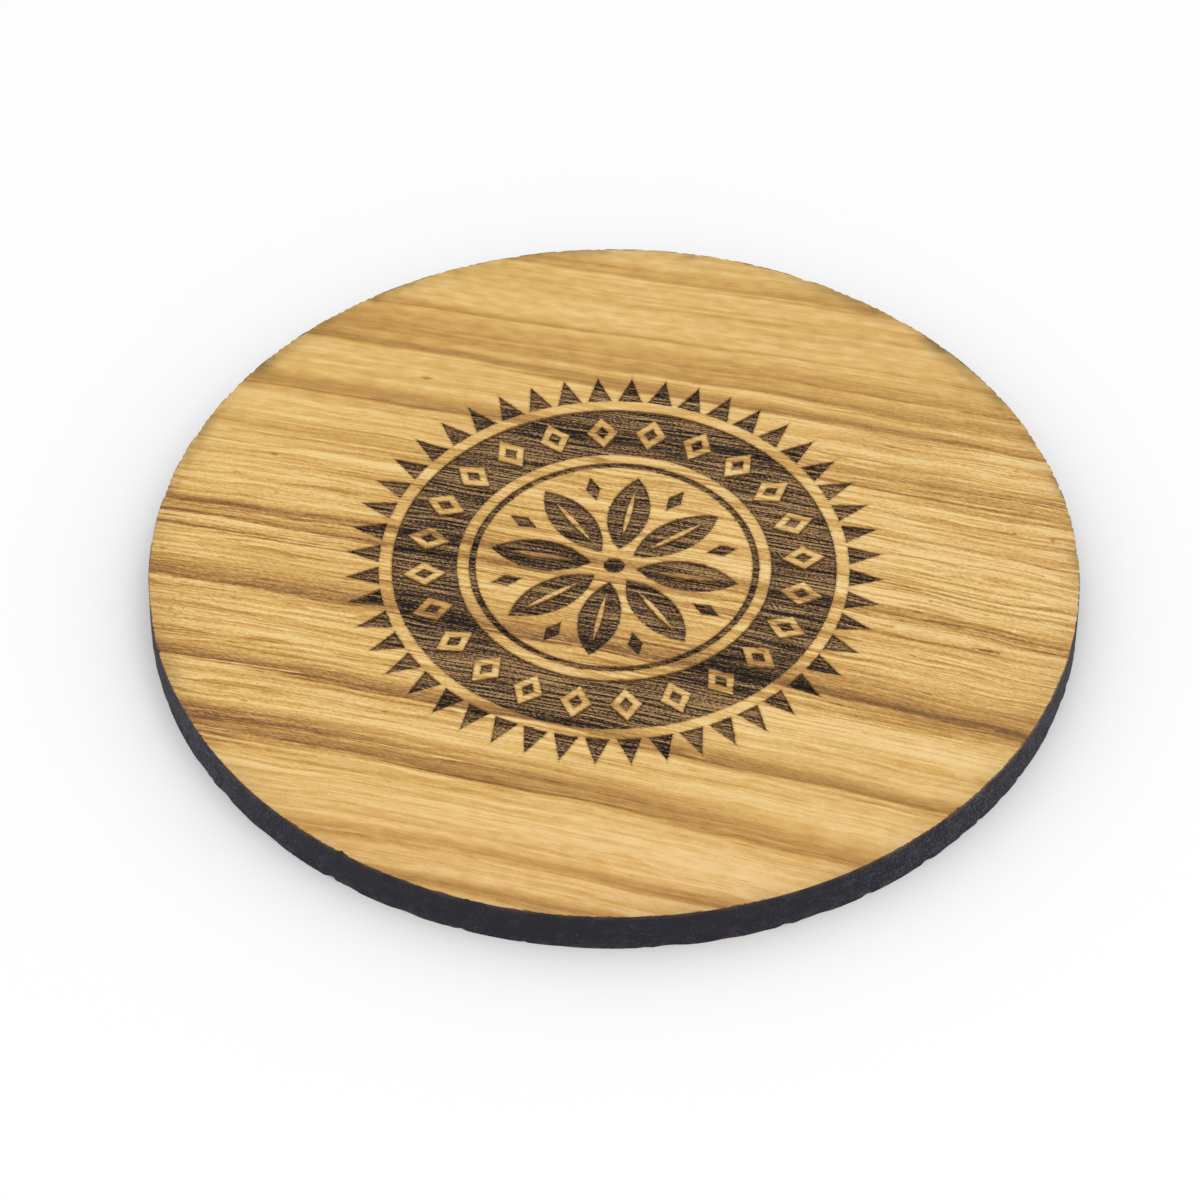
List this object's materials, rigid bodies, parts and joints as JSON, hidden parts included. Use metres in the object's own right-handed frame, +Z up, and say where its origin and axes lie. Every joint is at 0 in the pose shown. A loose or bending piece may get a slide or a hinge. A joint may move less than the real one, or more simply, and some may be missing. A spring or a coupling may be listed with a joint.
{
  "type": "drink coaster",
  "caption": "Flat round drink coaster cut by laser from an oak-veneered fibreboard panel, with an engraved rosette on its face and a charred dark edge.",
  "frame": {"origin": "middle of the underside, on the face that lies on the table", "axes": "+Z up through the disc, out of the engraved face; +X along the grain of both veneers; +Y across the grain"},
  "size_m": [0.1, 0.1, 0.0049],
  "materials": {
    "oak_veneer": "satin",
    "core_fibreboard": "matte",
    "dried_glue": "matte"
  },
  "bodies": {
    "root": {"face_veneer": "oak_veneer", "face_glue_line": "dried_glue", "core_board": "core_fibreboard", "back_glue_line": "dried_glue", "back_veneer": "oak_veneer"}
  },
  "joints": []
}
